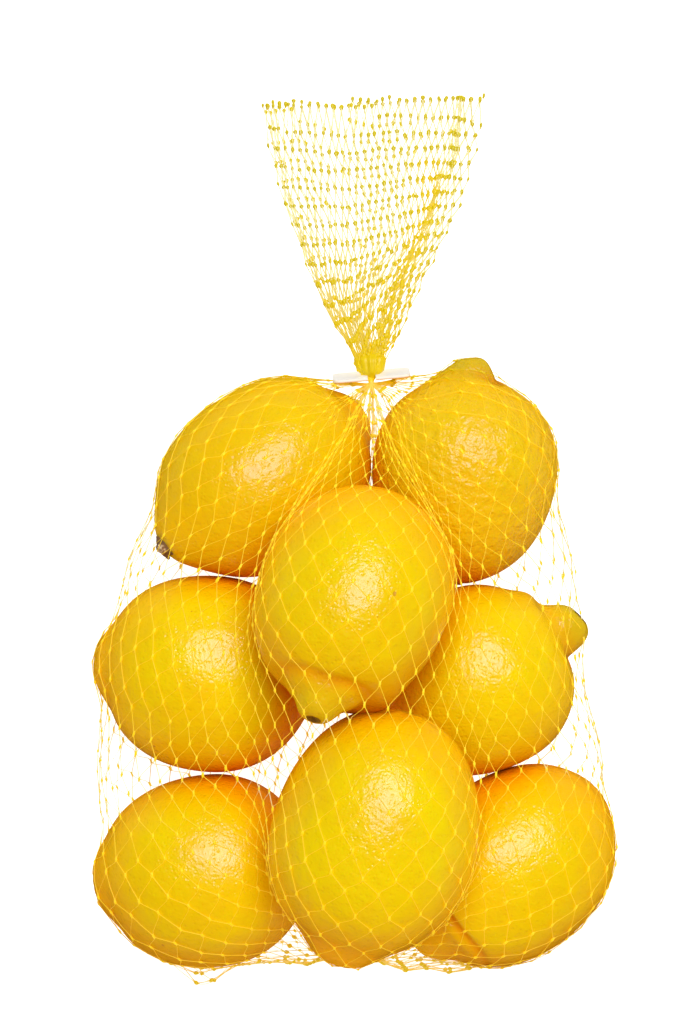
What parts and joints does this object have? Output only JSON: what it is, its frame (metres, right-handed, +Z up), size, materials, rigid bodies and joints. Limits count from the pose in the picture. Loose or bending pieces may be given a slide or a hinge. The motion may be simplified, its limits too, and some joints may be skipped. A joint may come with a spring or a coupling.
{
  "type": "net of lemons",
  "caption": "Filled net bag of lemons lying on its back, gathered at the neck through a slotted plastic clip, the spare net flared out flat above it.",
  "frame": {"origin": "centre of the bottom of the bounding box, on the surface the net lies on", "axes": "+X across the net, +Y along it towards the gathered neck and the flared tail, +Z up from the table through the shown side"},
  "size_m": [0.1622, 0.272, 0.0974],
  "materials": {
    "lemon_peel": "waxy yellow citrus peel with fine pores, semi-gloss",
    "net_yarn": "thin translucent yellow polyethylene strand, knotted",
    "stem_end": "dry brown stem button",
    "clip": "smooth white moulded plastic, bare"
  },
  "bodies": {
    "root": {"lemon_net": "lemon_peel", "neck_clip": "clip"}
  },
  "joints": []
}
